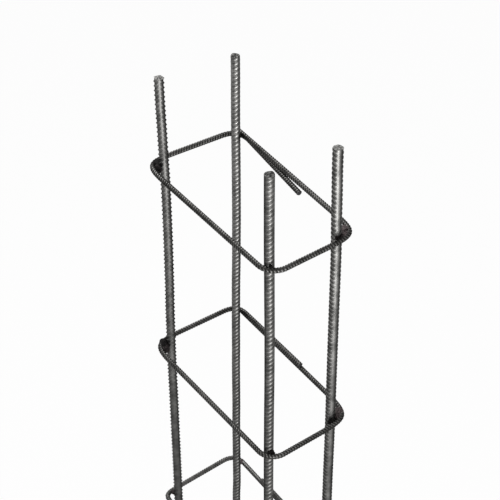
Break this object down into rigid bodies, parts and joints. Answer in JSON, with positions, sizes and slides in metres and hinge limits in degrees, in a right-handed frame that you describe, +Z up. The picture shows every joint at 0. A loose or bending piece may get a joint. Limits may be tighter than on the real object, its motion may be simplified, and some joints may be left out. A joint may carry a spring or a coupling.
{
  "type": "rebar cage",
  "caption": "Welded reinforcement cage: straight ribbed bars held at the corners of rectangular lapped wire stirrups, standing upright.",
  "frame": {"origin": "on the floor, at the middle of the cage", "axes": "+X along the long side of the stirrups, +Y towards the side where the wire ends are lapped, +Z up along the main bars"},
  "size_m": [0.295, 0.149, 1.2],
  "materials": {
    "bar_steel": "hot rolled, dull dark grey mill scale with rubbed bright rib tops",
    "wire_steel": "cold rolled ribbed wire, dull dark grey",
    "weld_metal": "sooty black weld lump"
  },
  "bodies": {
    "root": {"bar_front_left": "bar_steel", "bar_front_right": "bar_steel", "bar_back_right": "bar_steel", "bar_back_left": "bar_steel", "stirrup_1": "wire_steel", "stirrup_2": "wire_steel", "stirrup_3": "wire_steel", "stirrup_4": "wire_steel", "weld_1_front_left": "weld_metal", "weld_1_front_right": "weld_metal", "weld_1_back_right": "weld_metal", "weld_1_back_left": "weld_metal", "weld_2_front_left": "weld_metal", "weld_2_front_right": "weld_metal", "weld_2_back_right": "weld_metal", "weld_2_back_left": "weld_metal", "weld_3_front_left": "weld_metal", "weld_3_front_right": "weld_metal", "weld_3_back_right": "weld_metal", "weld_3_back_left": "weld_metal", "weld_4_front_left": "weld_metal", "weld_4_front_right": "weld_metal", "weld_4_back_right": "weld_metal", "weld_4_back_left": "weld_metal"}
  },
  "joints": []
}
